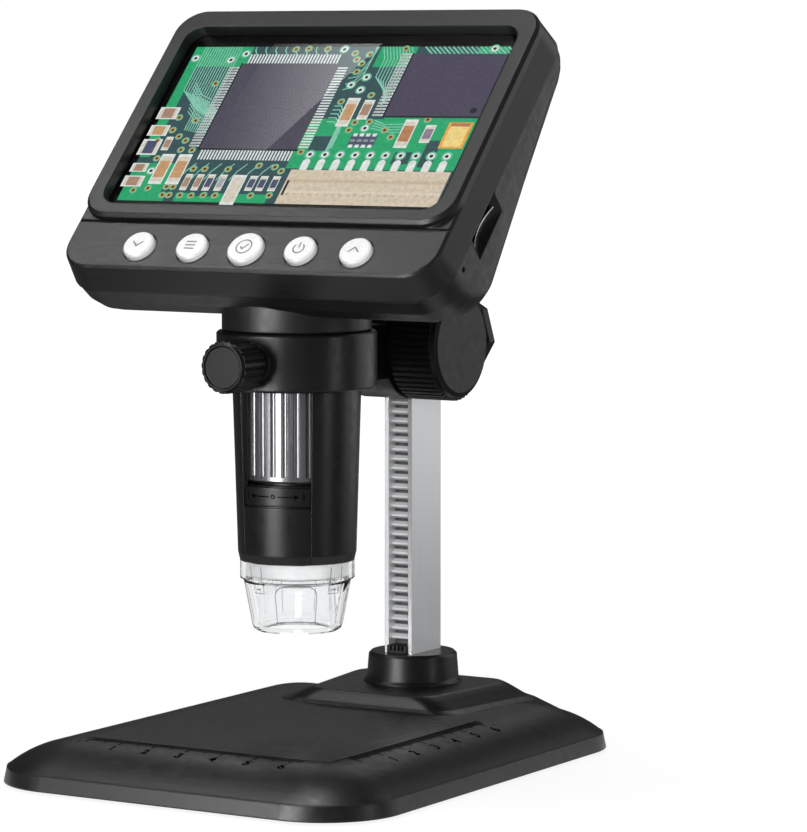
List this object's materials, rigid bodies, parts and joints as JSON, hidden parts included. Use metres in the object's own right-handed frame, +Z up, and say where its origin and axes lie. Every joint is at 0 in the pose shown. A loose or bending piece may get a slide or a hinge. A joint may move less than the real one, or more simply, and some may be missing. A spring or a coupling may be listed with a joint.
{
  "type": "lcd digital microscope",
  "caption": "Desk microscope with a tilted 4.3 inch screen above its barrel, on a slider that a rack and pinion moves on an upright column over a flat stage.",
  "frame": {"origin": "on the floor, at the middle of the outline of the whole object", "axes": "+Z up, -Y towards the user and the screen's side, +X to the user's right"},
  "size_m": [0.113, 0.1444, 0.1934],
  "materials": {
    "base_plastic": "satin with a fine grain",
    "slider_plastic": "satin with a fine grain",
    "knob_plastic": "satin, ribbed",
    "barrel_plastic": "satin",
    "head_plastic": "satin with a fine grain",
    "column_metal": "drawn, anodised",
    "rack_plastic": "moulded, pale",
    "weight_metal": "painted plate",
    "steel": "plain",
    "bush_brass": "turned",
    "brake_rubber": "matt",
    "foot_rubber": "matt",
    "wheel_metal": "bright, fluted",
    "lens_glass": "polished",
    "clear_plastic": "clear moulding",
    "screen_sheet": "gloss",
    "screen_panel": "lit picture of a circuit board",
    "board_green": "solder mask",
    "led_white": "white lamps",
    "battery_wrap": "foil wrap",
    "switch_body": "plain",
    "button_white": "silver white with a printed sign"
  },
  "bodies": {
    "base": {"base_shell": "base_plastic", "base_cover": "base_plastic", "weight_plate": "weight_metal", "base_feet": "foot_rubber", "base_screws": "steel", "collar": "slider_plastic", "column": "column_metal", "column_bolt": "steel", "column_cap": "slider_plastic", "rack": "rack_plastic", "rack_end_stop": "slider_plastic"},
    "slider": {"slider_arm": "slider_plastic", "shaft_bushes": "bush_brass", "brake_pad": "brake_rubber"},
    "focus_knob": {"focus_knob": "knob_plastic", "pinion_shaft": "steel"},
    "column_lock": {"column_lock_knob": "knob_plastic", "column_lock_stud": "steel"},
    "barrel_lock": {"barrel_lock_knob": "knob_plastic", "barrel_lock_screw": "steel"},
    "head": {"barrel_shell": "barrel_plastic", "front_panel": "barrel_plastic", "barrel_core": "barrel_plastic", "camera_board": "board_green", "led_board": "board_green", "leds": "led_white", "front_housing": "head_plastic", "back_shell": "head_plastic", "housing_screws": "steel", "screen_cover": "screen_sheet", "lcd_panel": "screen_panel", "main_board": "board_green", "battery": "battery_wrap", "button_board": "board_green", "button_switches": "switch_body", "card_socket": "steel", "usb_socket": "steel"},
    "focus_wheel": {"focus_wheel": "wheel_metal"},
    "lens_carrier": {"lens_carrier": "barrel_plastic", "objective_lens": "lens_glass"},
    "clear_cap": {"clear_cap": "clear_plastic"},
    "button_down": {"button_down": "button_white"},
    "button_menu": {"button_menu": "button_white"},
    "button_ok": {"button_ok": "button_white"},
    "button_power": {"button_power": "button_white"},
    "button_up": {"button_up": "button_white"}
  },
  "joints": [
    {"name": "height_slide", "type": "slide", "parent": "base", "child": "slider", "axis": [0, 0, 1], "range_m": [-0.024, 0.022]},
    {"name": "focus_knob_turn", "type": "hinge", "parent": "slider", "child": "focus_knob", "pos_m": [0.009, 0.03717, 0.1067], "axis": [1, 0, 0], "range_deg": [-200, 218]},
    {"name": "column_lock_turn", "type": "hinge", "parent": "slider", "child": "column_lock", "pos_m": [0, 0.068, 0.1067], "axis": [0, 1, 0], "range_deg": [0, 360]},
    {"name": "barrel_lock_turn", "type": "hinge", "parent": "slider", "child": "barrel_lock", "pos_m": [0, -0.038, 0.1053], "axis": [0, 1, 0], "range_deg": [0, 360]},
    {"name": "head_swivel", "type": "hinge", "parent": "slider", "child": "head", "pos_m": [0, -0.0085, 0.1126], "axis": [0, 0, 1], "range_deg": [-30, 30]},
    {"name": "focus_wheel_turn", "type": "hinge", "parent": "head", "child": "focus_wheel", "pos_m": [0, -0.0085, 0.0866], "axis": [0, 0, 1], "range_deg": [-150, 150]},
    {"name": "lens_focus", "type": "slide", "parent": "head", "child": "lens_carrier", "axis": [0, 0, 1], "range_m": [-0.00205, 0.00205]},
    {"name": "cap_pull", "type": "slide", "parent": "head", "child": "clear_cap", "axis": [0, 0, -1], "range_m": [0, 0.012]},
    {"name": "press_down", "type": "slide", "parent": "head", "child": "button_down", "axis": [0, 0.7254, -0.6884], "range_m": [0, 0.0007], "stiffness_N_per_m": 300, "springref_m": -0.003},
    {"name": "press_menu", "type": "slide", "parent": "head", "child": "button_menu", "axis": [0, 0.7254, -0.6884], "range_m": [0, 0.0007], "stiffness_N_per_m": 300, "springref_m": -0.003},
    {"name": "press_ok", "type": "slide", "parent": "head", "child": "button_ok", "axis": [0, 0.7254, -0.6884], "range_m": [0, 0.0007], "stiffness_N_per_m": 300, "springref_m": -0.003},
    {"name": "press_power", "type": "slide", "parent": "head", "child": "button_power", "axis": [0, 0.7254, -0.6884], "range_m": [0, 0.0007], "stiffness_N_per_m": 300, "springref_m": -0.003},
    {"name": "press_up", "type": "slide", "parent": "head", "child": "button_up", "axis": [0, 0.7254, -0.6884], "range_m": [0, 0.0007], "stiffness_N_per_m": 300, "springref_m": -0.003}
  ],
  "couplings": [
    {"joint": "focus_knob_turn", "follows": "height_slide", "rad_per_m": -156.25},
    {"joint": "lens_focus", "follows": "focus_wheel_turn", "m_per_rad": 0.000764}
  ]
}
